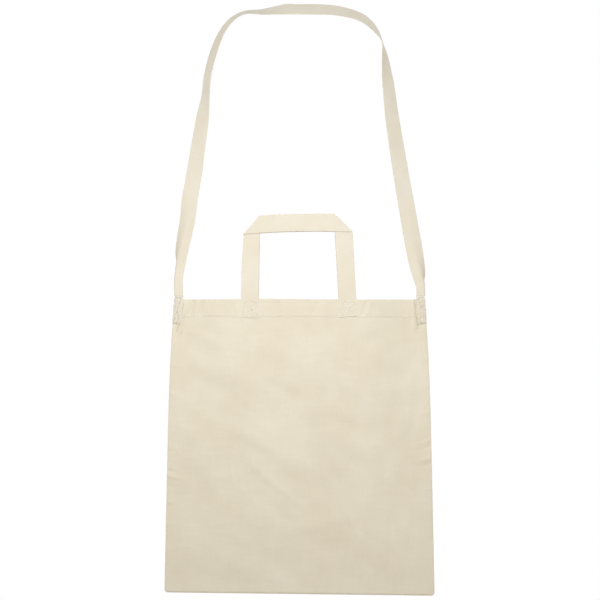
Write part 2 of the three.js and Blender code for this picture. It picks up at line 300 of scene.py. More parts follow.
HEM_PUCKERS = [  # foot x, top x, height above the stitch row at foot and top, depth, width, in mm
    (-157, -150, 3, 22, 1.7, 2.0), (-142, -138, 4, 20, 0.9, 2.0), (-149, -146, 8, 24, -0.7, 2.8),
    (90, 94, 3, 19, 1.0, 2.2), (98, 101, 6, 20, -0.5, 3.0), (-93, -97, 4, 18, 0.5, 2.6),
    (150, 147, 5, 20, 0.8, 2.4), (20, 24, 5, 18, 0.4, 2.8), (-28, -30, 5, 20, 0.4, 2.8),
]
SIDE_PUCKERS = [  # side, height above the bottom, depth, width, reach inwards, slope, in mm
    (1, 222, 1.3, 2.4, 15, 0.3), (1, 213, -1.2, 2.4, 13, 0.25), (1, 196, 1.5, 2.4, 18, 0.2),
    (1, 188, -1.1, 2.4, 14, 0.2), (1, 152, 0.8, 2.8, 12, 0.1), (1, 120, 0.6, 3.2, 13, -0.1),
    (1, 262, 0.8, 2.8, 12, 0.2), (1, 300, 0.6, 3.4, 12, 0.3), (1, 340, 0.6, 3.4, 14, 0.3),
    (1, 84, 0.5, 3.2, 12, -0.1), (1, 52, 0.6, 3.4, 14, -0.2), (-1, 168, 1.6, 2.3, 17, 0.2),
    (-1, 176, -1.2, 2.4, 14, 0.2), (-1, 154, -1.0, 2.6, 13, 0.15), (-1, 130, 1.1, 2.6, 14, 0.1),
    (-1, 210, 0.6, 3.2, 13, 0.2), (-1, 244, 0.6, 3.2, 12, 0.2), (-1, 288, 0.6, 3.4, 13, 0.3),
    (-1, 330, 0.7, 3.2, 14, 0.3), (-1, 96, 0.6, 3.4, 14, -0.1), (-1, 60, 0.6, 3.4, 12, -0.2),
]
# A fold runs down beside each strap end, where the strap's pull draws the cloth together: side,
# distance from the side edge at its top and foot, and how far below the mouth they are, in mm.
STRAP_PULLS = [(-1, 11.5, 7.7, 8, 44), (1, 12.9, 12.0, 2, 40)]
FOLD_DEPTH = 1.4  # multiplies the depths of the drape's folds
DRAPE_FOLDS = [  # start and end x and height, depth, width: long soft folds in the body, in mm
    (-120, 250, -10, 190, 0.9, 14), (30, 260, 130, 170, 0.9, 16), (-150, 330, -60, 300, 0.7, 16),
    (60, 90, 150, 40, 0.9, 18), (-160, 60, -60, 30, 0.9, 16), (10, 330, 90, 290, 0.5, 18),
    (-58, 176, -2, 129, 0.5, 6), (-72, 150, -20, 108, -0.5, 10), (69, 113, 80, 93, 0.4, 4),
    (-120, 120, -70, 150, 0.5, 11), (5, 95, 62, 108, 0.6, 10), (0, 135, 45, 160, -0.5, 12),
    (-32, 296, -8, 284, -0.7, 10), (-76, 214, -58, 204, -0.8, 9), (-74, 262, -52, 250, -0.5, 9),
    (-174, 380, -125, 362, 0.5, 8), (-176, 362, -156, 318, -0.5, 8), (-160, 390, -90, 382, 0.5, 9),
    (174, 380, 132, 360, 0.4, 8), (176, 362, 156, 322, -0.4, 8), (150, 386, 90, 380, 0.4, 9),
    (-178, 330, -168, 262, -0.4, 6), (180, 330, 170, 262, -0.4, 6), (20, 380, 60, 330, 0.3, 11),
    (-48, 350, -30, 300, 0.3, 11), (96, 210, 104, 150, 0.3, 10), (-130, 180, -112, 120, 0.4, 11),
    (-66, 60, -10, 44, -0.5, 12), (40, 250, 96, 232, -0.5, 12), (-150, 160, -100, 168, 0.4, 10),
]


def hem_line(x):
    """Height of the row of stitches, which wanders a little."""
    wander = 0.35 * MM * np.sin(x / (31 * MM)) + 0.2 * MM * np.sin(x / (11 * MM) + 1)
    return BAG_HEIGHT - HEM_DEPTH + wander


def relief(x, height, back):
    """How far the cloth stands out from its smooth shape: drape, puckers, folds and the hem."""
    seed = 40 if back else 11
    mirror = -1 if back else 1
    edge = side_edge(height) - np.abs(x)
    hem = hem_line(x)
    stitched = BAG_HEIGHT - HEM_DEPTH
    calm = 30 * MM
    inner = smooth(edge / calm) * smooth(height / calm) * (1 - 0.75 * smooth((height - hem + calm) / calm))
    # The hanging cloth's drape, then shallower dents, then a fine unevenness
    out = 1.1 * MM * waves(x, height * 0.8, seed, 190 * MM, 85 * MM, 9) * inner
    out += 0.34 * MM * waves(x, height, seed + 1, 60 * MM, 26 * MM, 16) * (0.35 + 0.65 * inner)
    out += 0.06 * MM * waves(x, height, seed + 2, 18 * MM, 9 * MM, 16)
    for x0, z0, x1, z1, depth, width in DRAPE_FOLDS:
        start, end = (x0 * MM, z0 * MM), (x1 * MM, z1 * MM)
        line = crease(x * mirror, height, start, end, width * MM, 35 * MM)
        out += FOLD_DEPTH * depth * MM * line * inner
    for side, at, depth, width, reach, slope in SIDE_PUCKERS:
        off = height - at * MM - slope * (x * side * mirror - BOTTOM_HALF_WIDTH)
        near = np.exp(-(edge / (reach * MM)) ** 2) * (x * side * mirror > 0)
        out += depth * MM * 0.8 * np.exp(-(off / (width * MM)) ** 2) * near
    above = smooth((height - hem - 1 * MM) / (3 * MM)) * smooth((BAG_HEIGHT - height) / (4 * MM))
    for foot, top, low, high, depth, width in HEM_PUCKERS:
        ends = ((foot * MM, stitched + low * MM), (top * MM, stitched + high * MM))
        line = crease(x * mirror, height, *ends, width * MM, 4 * MM)
        out -= depth * MM * line * above
    for side, top_in, low_in, start, end in STRAP_PULLS:
        top_height, low_height = BAG_HEIGHT - start * MM, BAG_HEIGHT - end * MM
        top = side * mirror * (side_edge(top_height) - top_in * MM)
        low = side * mirror * (side_edge(low_height) - low_in * MM)
        line = crease(x, height, (top, top_height), (low, low_height), 1.0 * MM, 6 * MM)
        ridge = crease(x, height, (top * 0.98, top_height), (low * 0.97, low_height), 2.4 * MM, 9 * MM)
        out += (1.4 * ridge - 2.0 * line) * MM
    # The hem's step, and the groove that its thread pulls in
    fold = smooth((height - hem + 0.8 * MM) / (1.6 * MM))
    ripple = 1 + 0.35 * waves(x, height * 0, seed + 3, 23 * MM, 9 * MM, 6)
    out += HEM_STEP * fold
    out -= 0.4 * MM * ripple * np.exp(-((height - hem) / (0.9 * MM)) ** 2)
    return out


def panel_place(x, height, back=False):
    """The outer face of the front panel, or of the back one."""
    # The edges are rounded in, and the panel leans out from the bottom seam to the mouth.
    edge = side_edge(height)
    inside = edge - np.abs(x)
    pressed = (1 - np.clip(inside / EDGE_ROUND, 0, 1)) ** 2
    pressed = 1 - (1 - pressed) * (1 - (1 - np.clip(height / EDGE_ROUND, 0, 1)) ** 2)
    closed = EDGE_ROUND * np.sqrt(np.clip(1 - pressed, 0, 1))
    flat = edge - SEAM_WIDTH
    share = smooth((flat - np.abs(x)) / (flat - FLAT_HALF_WIDTH))
    risen = np.clip(height - SEAM_WIDTH, 0, None) / (BAG_HEIGHT - SEAM_WIDTH)
    # The cloth lies flat under the sewn ends of the strap and the handles.
    off_strap = smooth((inside - 10 * MM) / (2 * MM)) + smooth((BAG_HEIGHT - 35 * MM - height) / (4 * MM))
    off_handle = smooth((np.abs(np.abs(x) - FOOT_SPREAD) - 12 * MM) / (5 * MM))
    off_handle = np.clip(off_handle + smooth((BAG_HEIGHT - 27 * MM - height) / (6 * MM)), 0, 1)
    rough = relief(x, height, back)
    step = HEM_STEP * smooth((height - hem_line(x) + 0.8 * MM) / (1.6 * MM))
    rough = step + (rough - step) * off_handle + 1.1 * MM * (1 - np.exp(-inside / (3.5 * MM)))
    rough = rough * np.clip(off_strap, 0, 1) * smooth(inside / (2.5 * MM)) * smooth(height / (2.5 * MM))
    depth = closed + MOUTH_HALF_OPENING * risen * share + rough
    # The bottom hangs a little lower on the right, and the mouth rises left of its middle.
    sag = -2.4 * MM * (x / BOTTOM_HALF_WIDTH) * (1 - height / BAG_HEIGHT)
    rise = 0.9 * MM * np.exp(-((x + 50 * MM) / (75 * MM)) ** 2)
    sag = sag + rise * smooth(height / BAG_HEIGHT * 3 - 2)
    side = 1 if back else -1
    return np.stack(np.broadcast_arrays(x, side * depth, BOTTOM + height + sag), axis=-1)


def panel_normals(x, height, back=False):
    """Outward directions of a panel's outer face."""
    small = 0.3 * MM
    dx = panel_place(x + small, height, back) - panel_place(x - small, height, back)
    dz = panel_place(x, height + small, back) - panel_place(x, height - small, back)
    normal = np.cross(dx, dz) * (-1 if back else 1)
    return normal / np.linalg.norm(normal, axis=-1, keepdims=True)


def half_panel(name, side, back, settings, material):
    """Half a panel with its turned hem: up the outside, over the mouth and down the inside."""
    # Rows and columns are closest at the bottom, in the hem, at the middle joint and at the side.
    foot, hem_foot, rim = 3 * MM, BAG_HEIGHT - 32 * MM, BAG_HEIGHT - 0.6 * MM
    heights = np.concatenate([
        np.linspace(0, 1, 7)[:-1] ** 1.5 * foot,
        np.linspace(foot, hem_foot, 232)[:-1],
        np.linspace(hem_foot, rim, 44),
    ])
    side_share = 0.905
    shares = np.concatenate([
        [0, 0.0006, 0.0018],
        np.linspace(0.004, side_share, 104)[:-1],
        1 - (1 - side_share) * (1 - np.linspace(0, 1, 46)) ** 1.4,
    ])
    if (side > 0) == back:
        shares = shares[::-1]
    z, u = np.meshgrid(heights, shares, indexing="ij")
    x = side * side_edge(z) * u
    outer = panel_place(x, z, back)
    facing = 1 if back else -1
    top = outer[-1]
    roll = []
    for turn in np.radians([30, 60, 90, 120, 150]):
        lift = np.sin(turn) * HEM_GAP / 2
        into = (1 - np.cos(turn)) * HEM_GAP / 2
        point = top.copy()
        point[:, 1] = facing * np.maximum(facing * top[:, 1] - into, LEAST_DEPTH)
        point[:, 2] += lift
        roll.append(point)
    inner = []
    for down in np.linspace(0, settings.hem_depth - 0.6 * MM, 14):
        height = rim - down
        place = panel_place(side * side_edge(height) * shares, np.full_like(shares, height), back)
        tuck = HEM_GAP - 0.55 * MM * smooth((down - settings.hem_depth + 3 * MM) / (3 * MM))
        place[:, 1] = facing * np.maximum(facing * place[:, 1] - tuck, LEAST_DEPTH)
        inner.append(place)
    points = np.concatenate([outer, np.array(roll), np.array(inner)])
    turned = np.arange(1, len(roll) + len(inner) + 1) * 1.6 * MM
    lengths = np.concatenate([heights, BAG_HEIGHT + turned])
    widths = shares * side * BOTTOM_HALF_WIDTH
    flat = np.stack(np.meshgrid(lengths, widths, indexing="ij")[::-1], axis=-1)
    mesh = cloth_mesh(name, points, flat)
    piece = new_object(name, mesh, material)
    wall = piece.modifiers.new("Cloth thickness", "SOLIDIFY")
    wall.thickness = settings.cloth_thickness
    wall.offset = -1
    wall.use_even_offset = False
    apply_modifier(piece, wall)
    sharpen_joint(mesh)
    return piece


def sharpen_joint(mesh):
    """Keeps the shading smooth right up to the cut edge where two half panels meet."""
    work = bmesh.new()
    work.from_mesh(mesh)
    for edge in work.edges:
        if edge.calc_face_angle(0) > math.radians(60):
            edge.smooth = False
    work.to_mesh(mesh)
    work.free()


def apply_modifier(piece, modifier):
    """Makes a modifier's result the piece's own mesh."""
    bpy.ops.object.select_all(action="DESELECT")
    piece.select_set(True)
    bpy.context.view_layer.objects.active = piece
    bpy.ops.object.modifier_apply(modifier=modifier.name)


# ---- Straps ------------------------------------------------------------------------------------

def spline(values, shares):
    """A smooth line through the values, at shares of the way from the first to the last."""
    values = np.asarray(values, float)
    last = len(values) - 1
    at = np.clip(shares * last, 0, last - 1e-9)
    k = at.astype(int)
    f = (at - k)[:, None]
    p0, p1 = values[np.maximum(k - 1, 0)], values[k]
    p2, p3 = values[k + 1], values[np.minimum(k + 2, last)]
    bend = (2 * p0 - 5 * p1 + 4 * p2 - p3) * f ** 2 + (3 * p1 - p0 - 3 * p2 + p3) * f ** 3
    return 0.5 * (2 * p1 + (p2 - p0) * f + bend)


def shoulder_strap_middle(settings):
    """The strap's middle layer, from the bottom of the left sewn end to that of the right one."""
    ends = []
    for share in (0, 0.35, 0.7, 1.0):
        height = STRAP_END_BOTTOM - BOTTOM + share * (MOUTH - STRAP_END_BOTTOM)
        spine = float(side_edge(np.array(height))) + STRAP_END_OUT
        ends.append((spine, height + BOTTOM, 179, 181))
    route = [(-x, *rest) for x, *rest in ends]
    for across, up, back, front in STRAP_ROUTE:
        route.append((across * STRAP_HALF_SPAN, MOUTH + up * STRAP_RISE, back, front))
    flared = [(x + RIGHT_END_FLARE * k / 3, *rest) for k, (x, *rest) in enumerate(ends)]
    route = np.array(route + flared[::-1])
    fine = spline(route, np.linspace(0, 1, 4001))
    travelled = np.concatenate([[0], np.cumsum(np.hypot(*np.diff(fine[:, :2], axis=0).T))])
    rows = int(travelled[-1] / settings.strap_step)
    lengths = np.linspace(0, travelled[-1], rows)
    x, z, back, front = (np.interp(lengths, travelled, fine[:, k]) for k in range(4))
    tangent = np.stack([np.gradient(x), np.gradient(z)], axis=-1)
    tangent /= np.linalg.norm(tangent, axis=1, keepdims=True)
    half = settings.strap_width / 2
    across = np.linspace(-half, half, 27)
    # The lengthwise fold is tight at the sewn ends and opens out above the mouth.
    opened = smooth((z - MOUTH - 6 * MM) / (24 * MM))[:, None]
    turn_length = math.pi * STRAP_FOLD_RADIUS * (1 - opened) + STRAP_OPEN_TURN * opened
    share = smooth(across[None] / turn_length + 0.5)
    start = front - 180
    angle = np.radians(start[:, None] + (back - start)[:, None] * share)
    step = across[1] - across[0]
    steps = np.stack([np.cos(angle), np.sin(angle)], axis=-1) * step
    summed = np.cumsum((steps[:, 1:] + steps[:, :-1]) / 2, axis=1)
    path = np.concatenate([np.zeros_like(summed[:, :1]), summed], axis=1)
    path -= path[:, len(across) // 2][:, None]
    out_x, out_z = -tangent[:, 1], tangent[:, 0]
    middle = np.zeros((rows, len(across), 3))
    middle[..., 0] = x[:, None] + out_x[:, None] * path[..., 0]
    middle[..., 1] = path[..., 1]
    middle[..., 2] = z[:, None] + out_z[:, None] * path[..., 0]
    flat = np.stack(np.meshgrid(lengths, across, indexing="ij")[::-1], axis=-1)
    return middle, flat, lengths


def crumple(middle, flat, seed, depth):
    """Pushes a strap's middle layer in and out a little along its length."""
    normal = np.cross(along(middle, 1), along(middle, 0))
    soft = waves(flat[..., 0] * 1.5, flat[..., 1], seed, 60 * MM, 18 * MM, 12)
    return middle + normal * (depth * soft)[..., None]


def quilted(middle, flat, box, depth):
    """Pulls a strap's middle layer in along a sewn box with a cross."""
    s0, s1, l0, l1 = box
    s, l = flat[..., 0], flat[..., 1]
    within = smooth((l - l0 + 2 * MM) / (2 * MM)) * smooth((l1 + 2 * MM - l) / (2 * MM))
    slant = (l1 - l0) / (s1 - s0)
    steep = math.hypot(1, slant)
    lines = [s - s0, s - s1, l - l0, l - l1]
    lines += [(l - l0 - slant * (s - s0)) / steep, (l - l0 + slant * (s - s1)) / steep]
    pull = np.max([np.exp(-(line / (0.8 * MM)) ** 2) for line in lines], axis=0) * within
    puff = 0.35 * waves(s, l, 8, 7 * MM, 3 * MM, 10) * within
    normal = np.cross(along(middle, 1), along(middle, 0))
    return middle + normal * (depth * (pull + puff))[..., None]


def handle_middle(settings, lean_in, dip):
    """A grab handle's middle layer in the panel's plane: x, how far in front, and height.

    lean_in moves the left and right leg in at the foot and at the bar, and dip lowers the bar's ends.
    """
    width = settings.handle_width
    foot = LEAN_LENGTH - settings.handle_end
    bar = LEAN_LENGTH + (HANDLE_TOP - MOUTH) / math.cos(LEAN) - width / 2
    roll = settings.strap_thickness / 2 + 0.12 * MM
    feet = [
        np.array([-FOOT_SPREAD - lean_in[0][0], foot]),
        np.array([FOOT_SPREAD + lean_in[1][0], foot]),
    ]
    tops = [
        np.array([-FOOT_SPREAD - lean_in[0][1], bar - dip[0]]),
        np.array([FOOT_SPREAD + lean_in[1][1], bar - dip[1]]),
    ]
    line = [feet[0], tops[0], tops[1], feet[1]]
    ways = [(b - a) / np.linalg.norm(b - a) for a, b in zip(line, line[1:])]
    spans = [np.linalg.norm(b - a) for a, b in zip(line, line[1:])]
    step = settings.handle_step
    across = np.linspace(-width / 2, width / 2, int(width / step) + 1)
    lengths = np.linspace(0, sum(spans), int(sum(spans) / step) + 1)
    l, s = np.meshgrid(lengths, across, indexing="ij")
    left = np.array([-ways[0][1], ways[0][0]])
    place = line[0] + l[..., None] * ways[0] - s[..., None] * left
    depth = np.zeros_like(l)
    beyond = np.zeros_like(l, bool)
    folds = ((line[1], ways[0], ways[1], -1), (line[2], ways[1], ways[2], 1))
    for corner, way_in, way_out, towards in folds:
        fold = (way_in + way_out) / np.linalg.norm(way_in + way_out)
        across_fold = (way_in - way_out) / np.linalg.norm(way_in - way_out)
        run = (place - corner) @ fold
        off = (place - corner) @ across_fold
        if towards > 0:
            off = np.where(beyond, off, -1.0)
        quarter = math.pi * roll / 2
        turn = np.clip((off + quarter) / roll, 0, math.pi)
        flat_part = np.where(off < -quarter, off + quarter, 0.0)
        flat_part = np.where(off > quarter, quarter - off, flat_part)
        sideways = (np.sin(turn) * roll + flat_part)[..., None]
        folded = corner + run[..., None] * fold + sideways * across_fold
        moved = off > -quarter
        if towards > 0:
            moved = moved & beyond
        place = np.where(moved[..., None], folded, place)
        depth = depth + np.where(moved, towards * roll * (1 - np.cos(turn)), 0)
        beyond = beyond | (off > 0)
    middle = np.stack([place[..., 0], depth, place[..., 1]], axis=-1)
    flat = np.stack([s, l], axis=-1)
    return middle, flat


def from_panel_plane(points, facing):
    """From the leaning plane of a panel's flat middle to the row frame. facing is -1 in front."""
    x, out, up = points[..., 0], points[..., 1], points[..., 2]
    y = -PANEL_FOOT + out * math.cos(LEAN) - up * math.sin(LEAN)
    z = BOTTOM + SEAM_WIDTH + out * math.sin(LEAN) + up * math.cos(LEAN)
    return np.stack(np.broadcast_arrays(x, y if facing < 0 else -y, z), axis=-1)


# ---- Finishes ----------------------------------------------------------------------------------

def node(tree, kind, inputs=(), **settings):
    """A new node, its inputs set to values or linked to other nodes' outputs."""
    made = tree.nodes.new(kind)
    for key, value in settings.items():
        setattr(made, key, value)
    for socket, value in dict(inputs).items():
        if isinstance(value, bpy.types.NodeSocket):
            tree.links.new(value, made.inputs[socket])
        else:
            made.inputs[socket].default_value = value
    return made


def maths(tree, operation, *values):
    return node(tree, "ShaderNodeMath", enumerate(values), operation=operation).outputs[0]


def noise(tree, vector, scale, detail=2.0, roughness=0.5):
    values = {"Vector": vector, "Scale": scale, "Detail": detail, "Roughness": roughness}
    return node(tree, "ShaderNodeTexNoise", values).outputs["Fac"]


def stretched(tree, vector, scale):
    return node(tree, "ShaderNodeMapping", {"Vector": vector, "Scale": scale}).outputs[0]


def shade(tree, fac, low, high, dark, light):
    """A grey multiplier that runs from dark to light as fac goes from low to high."""
    values = {"Value": fac, "From Min": low, "From Max": high, "To Min": dark, "To Max": light}
    return node(tree, "ShaderNodeMapRange", values).outputs[0]


def calico(name, colour, thread, slub):
    """Plain woven unbleached cotton: fine over-and-under weave, thick and thin threads, seed flecks."""
    material = bpy.data.materials.new(name)
    material.use_nodes = True
    tree = material.node_tree
    tree.nodes.clear()
    place = node(tree, "ShaderNodeUVMap", uv_map="Cloth").outputs[0]
    solid = node(tree, "ShaderNodeTexCoord").outputs["Object"]
    parts = node(tree, "ShaderNodeSeparateXYZ", {0: place})
    u, v = parts.outputs[0], parts.outputs[1]
    wander = maths(tree, "MULTIPLY", noise(tree, place, 160.0), 0.5 * thread)
    warp = maths(tree, "SINE", maths(tree, "MULTIPLY", maths(tree, "ADD", u, wander), math.pi / thread))
    weft = maths(tree, "SINE", maths(tree, "MULTIPLY", maths(tree, "ADD", v, wander), math.pi / thread))
    weave = maths(tree, "MULTIPLY", warp, weft)
    down = noise(tree, stretched(tree, place, (1100, 26, 1)), 1.0, 2.0)
    along_weft = noise(tree, stretched(tree, place, (22, 1000, 1)), 1.0, 2.0)
    thick_down = noise(tree, stretched(tree, place, (420, 16, 1)), 1.0, 1.0)
    thick_across = noise(tree, stretched(tree, place, (14, 380, 1)), 1.0, 1.0)
    clouds = noise(tree, solid, 14.0, 3.0, 0.55)
    handling = noise(tree, solid, 55.0, 2.0, 0.5)
    flecks = noise(tree, stretched(tree, place, (520, 300, 1)), 1.0, 0.0)

    grain = noise(tree, place, 700.0, 3.0, 0.7)
    tone = shade(tree, down, 0.3, 0.7, 1 - slub, 1 + slub)
    for layer in (
        (along_weft, 0.3, 0.7, 1 - slub, 1 + slub),
        (thick_down, 0.55, 0.8, 1.0, 1 - slub),
        (thick_across, 0.55, 0.8, 1.0, 1 - slub),
        (grain, 0.3, 0.7, 0.955, 1.045),
        (clouds, 0.3, 0.7, 0.985, 1.012),
        (handling, 0.3, 0.7, 0.993, 1.007),
        (weave, -1.0, 1.0, 0.97, 1.03),
        (flecks, 0.78, 0.84, 1.0, 0.91),
    ):
        tone = maths(tree, "MULTIPLY", tone, shade(tree, *layer))
    tint = node(tree, "ShaderNodeMix", data_type="RGBA")
    tree.links.new(shade(tree, clouds, 0.35, 0.65, 0.0, 1.0), tint.inputs["Factor"])
    tint.inputs[6].default_value = (colour[0] * 0.99, colour[1] * 0.975, colour[2] * 0.94, 1)
    tint.inputs[7].default_value = (*colour[:3], 1)
    toned = node(tree, "ShaderNodeVectorMath", {0: tint.outputs[2], 1: tone}, operation="MULTIPLY")

    slubs = maths(tree, "ADD", thick_down, thick_across)
    height = maths(tree, "ADD", maths(tree, "MULTIPLY", weave, 0.22), maths(tree, "ADD", down, along_weft))
    height = maths(tree, "ADD", height, maths(tree, "MULTIPLY", slubs, 0.9))
    bump = node(tree, "ShaderNodeBump", {"Height": height, "Strength": 0.42, "Distance": 0.00005})
    fuzz = shade(tree, weave, -1.0, 1.0, 0.97, 0.86)
    cloth = node(
        tree, "ShaderNodeBsdfPrincipled",
        {"Base Color": toned.outputs[0], "Roughness": fuzz, "Normal": bump.outputs[0]},
    )
    cloth.inputs["Sheen Weight"].default_value = 0.12
    cloth.inputs["Sheen Roughness"].default_value = 0.6
    cloth.inputs["Specular IOR Level"].default_value = 0.18
    output = node(tree, "ShaderNodeOutputMaterial")
    tree.links.new(cloth.outputs[0], output.inputs["Surface"])
    return material


def sewing_thread(name, colour):
    """Spun cotton thread with its plies' twist."""
    material = bpy.data.materials.new(name)
    material.use_nodes = True
    tree = material.node_tree
    tree.nodes.clear()
    place = node(tree, "ShaderNodeTexCoord").outputs["Object"]
    parts = node(tree, "ShaderNodeSeparateXYZ", {0: place})
    slant = maths(tree, "ADD", maths(tree, "ADD", parts.outputs[0], parts.outputs[1]), parts.outputs[2])
    plies = maths(tree, "SINE", maths(tree, "MULTIPLY", slant, 2 * math.pi / (0.35 * MM)))
    fibres = noise(tree, place, 2600.0, 2.0)
    ply_tone = shade(tree, plies, -1.0, 1.0, 0.93, 1.04)
    tone = maths(tree, "MULTIPLY", ply_tone, shade(tree, fibres, 0.3, 0.7, 0.95, 1.03))
    base = node(tree, "ShaderNodeVectorMath", {0: colour[:3], 1: tone}, operation="MULTIPLY")
    bump = node(tree, "ShaderNodeBump", {"Height": plies, "Strength": 0.4, "Distance": 0.0001})
    roughness = shade(tree, fibres, 0.3, 0.7, 0.75, 0.9)
    thread = node(
        tree, "ShaderNodeBsdfPrincipled",
        {"Base Color": base.outputs[0], "Roughness": roughness, "Normal": bump.outputs[0]},
    )
    thread.inputs["Specular IOR Level"].default_value = 0.25
    output = node(tree, "ShaderNodeOutputMaterial")
    tree.links.new(thread.outputs[0], output.inputs["Surface"])
    return material


def finish_for(slot, settings):
    """The finish for one of the frame's slots, made once."""
    made = bpy.data.materials.get(f"bag_{slot}")
    if made:
        return made
    if slot == "cotton_thread":
        return sewing_thread("bag_cotton_thread", settings.thread_colour)
    colour = settings.cloth_colour if slot == "calico" else settings.strap_colour
    return calico(f"bag_{slot}", colour, settings.thread_pitch, settings.slub)


# ---- Settings ----------------------------------------------------------------------------------

class BagSizes(bpy.types.PropertyGroup):
    """Sizes and colours of the bag"""

    cloth_thickness: bpy.props.FloatProperty(
        name="Cloth thickness", description="Thickness of one layer of calico",
        default=0.4 * MM, min=0.1 * MM, unit="LENGTH")
    hem_depth: bpy.props.FloatProperty(
        name="Hem depth", description="Depth of the turned edge at the mouth",
        default=HEM_DEPTH, min=5 * MM, unit="LENGTH")
    strap_width: bpy.props.FloatProperty(
        name="Strap width", description="Width of the shoulder strap, unfolded",
        default=25 * MM, min=10 * MM, unit="LENGTH")
    strap_thickness: bpy.props.FloatProperty(
        name="Strap thickness", description="Thickness of the folded and sewn strap cloth",
        default=0.9 * MM, min=0.5 * MM, unit="LENGTH")
    strap_step: bpy.props.FloatProperty(
        name="Strap step", description="Length of one row of faces along the shoulder strap",
        default=2 * MM, min=0.5 * MM, unit="LENGTH")
    handle_width: bpy.props.FloatProperty(
        name="Handle width", description="Width of the grab handles",
        default=24 * MM, min=10 * MM, unit="LENGTH")
    handle_end: bpy.props.FloatProperty(
        name="Handle end", description="Sewn length of a handle below the mouth",
        default=26 * MM, min=10 * MM, unit="LENGTH")
    handle_step: bpy.props.FloatProperty(
        name="Handle step", description="Size of the faces on a grab handle",
        default=0.8 * MM, min=0.3 * MM, unit="LENGTH")
    stitch_length: bpy.props.FloatProperty(
        name="Stitch pitch", description="Distance from one stitch to the next",
        default=3 * MM, min=1 * MM, unit="LENGTH")
    thread_width: bpy.props.FloatProperty(
        name="Thread width", description="Thickness of the sewing thread",
        default=0.8 * MM, min=0.1 * MM, unit="LENGTH")
    thread_pitch: bpy.props.FloatProperty(
        name="Weave pitch", description="Distance between two threads of the weave",
        default=0.5 * MM, min=0.1 * MM, unit="LENGTH")
    quilting: bpy.props.FloatProperty(
        name="Quilting", description="How far the stitches pull the strap ends in",
        default=-0.6 * MM, unit="LENGTH")
    slub: bpy.props.FloatProperty(
        name="Slub", description="How uneven the cloth's threads are",
        default=0.011, min=0, max=0.3, subtype="FACTOR")
    cloth_colour: bpy.props.FloatVectorProperty(
        name="Cloth colour", description="Colour of the calico",
        default=(0.72, 0.668, 0.548), size=3, min=0, max=1, subtype="COLOR")
    strap_colour: bpy.props.FloatVectorProperty(
        name="Strap colour", description="Colour of the strap cloth",
        default=(0.722, 0.674, 0.57), size=3, min=0, max=1, subtype="COLOR")
    thread_colour: bpy.props.FloatVectorProperty(
        name="Thread colour", description="Colour of the sewing thread",
        default=(0.84, 0.81, 0.73), size=3, min=0, max=1, subtype="COLOR")


# ---- Operators ---------------------------------------------------------------------------------

class BAG_OT_panels(bpy.types.Operator):
    """Makes the front and back panels with their turned hems"""

    bl_idname = "picking_bag.panels"
    bl_label = "Panels"

    def execute(self, context):
        settings = context.scene.picking_bag
        material = finish_for("calico", settings)
        for body in ("front", "back"):
            back = body == "back"
            for side_name, side in (("left", -1), ("right", 1)):
                name = f"{body}_panel_{side_name}_half"
                piece = half_panel(name, side, back, settings, material)
                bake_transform(piece)
                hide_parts(f"{body}_panel", f"{body}_hem", f"{side_name}_side_seam", "bottom_seam")
        return {"FINISHED"}


class BAG_OT_hem_stitching(bpy.types.Operator):
    """Sews the row of stitches that holds each hem"""

    bl_idname = "picking_bag.hem_stitching"
    bl_label = "Hem stitching"

    def execute(self, context):
        settings = context.scene.picking_bag
        material = finish_for("cotton_thread", settings)
        reach = float(side_edge(BAG_HEIGHT - settings.hem_depth)) - 13.5 * MM
        for body in ("front", "back"):
            back = body == "back"
            for side_name, side in (("left", -1), ("right", 1)):
                x = side * np.linspace(0.5 * settings.stitch_length, reach, 400)
                line = panel_place(x, hem_line(x), back)
                places, ways = row_of_stitches(line, settings.stitch_length)
                hidden = np.abs(np.abs(places[:, 0]) - FOOT_SPREAD) < settings.handle_width / 2
                places, ways = places[~hidden], ways[~hidden]
                normals = panel_normals(places[:, 0], hem_line(places[:, 0]), back)
                name = f"{body}_hem_stitches_{side_name}"
                piece = stitches(
                    name, places, ways, normals, material,
                    settings.stitch_length * 0.82, settings.thread_width)
                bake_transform(piece)
                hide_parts(f"{body}_hem_stitching")
        return {"FINISHED"}


class BAG_OT_shoulder_strap(bpy.types.Operator):
    """Makes the shoulder strap in one length, its ends folded round the side seams"""

    bl_idname = "picking_bag.shoulder_strap"
    bl_label = "Shoulder strap"

    def execute(self, context):
        settings = context.scene.picking_bag
        middle, flat, lengths = shoulder_strap_middle(settings)
        middle = crumple(middle, flat, 5, 0.14 * MM)
        tall = MOUTH + STRAP_BOX_RISE - STRAP_END_BOTTOM - STRAP_BOX_INSET
        near, far = STRAP_BOX_SIDES
        for low in (STRAP_BOX_INSET, float(lengths[-1]) - STRAP_BOX_INSET - tall):
            for sides in ((-far, -near), (near, far)):
                middle = quilted(middle, flat, (*sides, low, low + tall), -settings.quilting)
        mesh = strap_mesh("shoulder_strap_cloth", middle, flat, settings.strap_thickness)
        piece = new_object("shoulder_strap_cloth", mesh, finish_for("strap_cloth", settings))
        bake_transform(piece)
        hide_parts("shoulder_strap", "left_strap_end", "right_strap_end")
        return {"FINISHED"}


